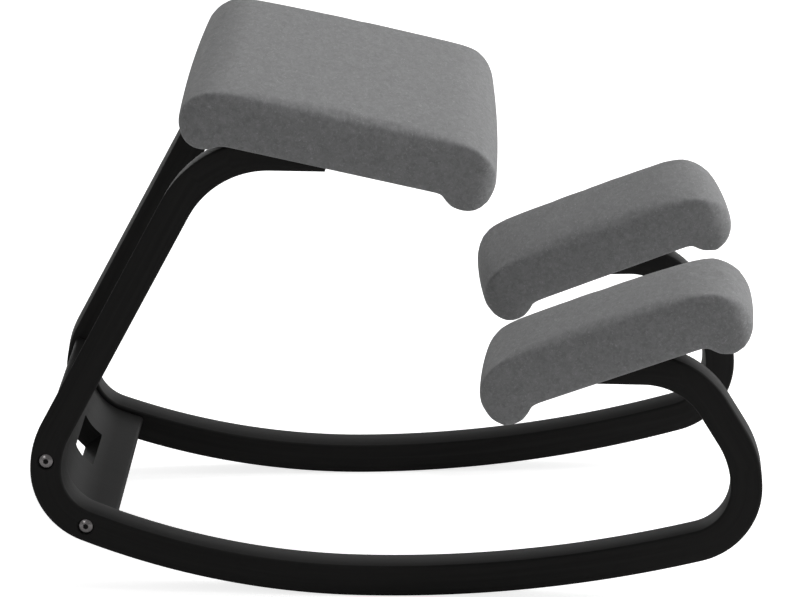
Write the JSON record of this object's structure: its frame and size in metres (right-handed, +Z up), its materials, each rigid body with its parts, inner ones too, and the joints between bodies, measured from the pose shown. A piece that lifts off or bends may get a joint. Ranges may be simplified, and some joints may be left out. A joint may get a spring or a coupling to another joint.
{
  "type": "kneeling chair",
  "caption": "Rocking kneeling chair: bent laminated runners carry a sloping padded seat and separate sloping knee pads, joined at the back by a bent stretcher with a hand slot.",
  "frame": {"origin": "middle of the overall length and width, on the floor", "axes": "+X the way the sitter faces, +Y to the sitter's left, +Z up"},
  "size_m": [0.7208, 0.5294, 0.5194],
  "materials": {
    "stained_beech": "satin",
    "plywood": "matte",
    "grey_felt": "matte",
    "foam": "matte",
    "black_lining": "matte",
    "zinc_steel": "satin"
  },
  "bodies": {
    "root": {"knee_board_left": "plywood", "knee_board_right": "plywood", "knee_cover_left": "grey_felt", "knee_cover_right": "grey_felt", "knee_foam_left": "foam", "knee_foam_right": "foam", "knee_liner_left": "black_lining", "knee_liner_right": "black_lining", "knee_screws": "zinc_steel", "knee_tee_nuts": "zinc_steel", "rear_stretcher": "stained_beech", "runner_left": "stained_beech", "runner_right": "stained_beech", "seat_board": "plywood", "seat_cover": "grey_felt", "seat_foam": "foam", "seat_liner": "black_lining", "seat_screws": "zinc_steel", "seat_tee_nuts": "zinc_steel", "stretcher_bolts": "zinc_steel", "stretcher_inserts": "zinc_steel"}
  },
  "joints": []
}
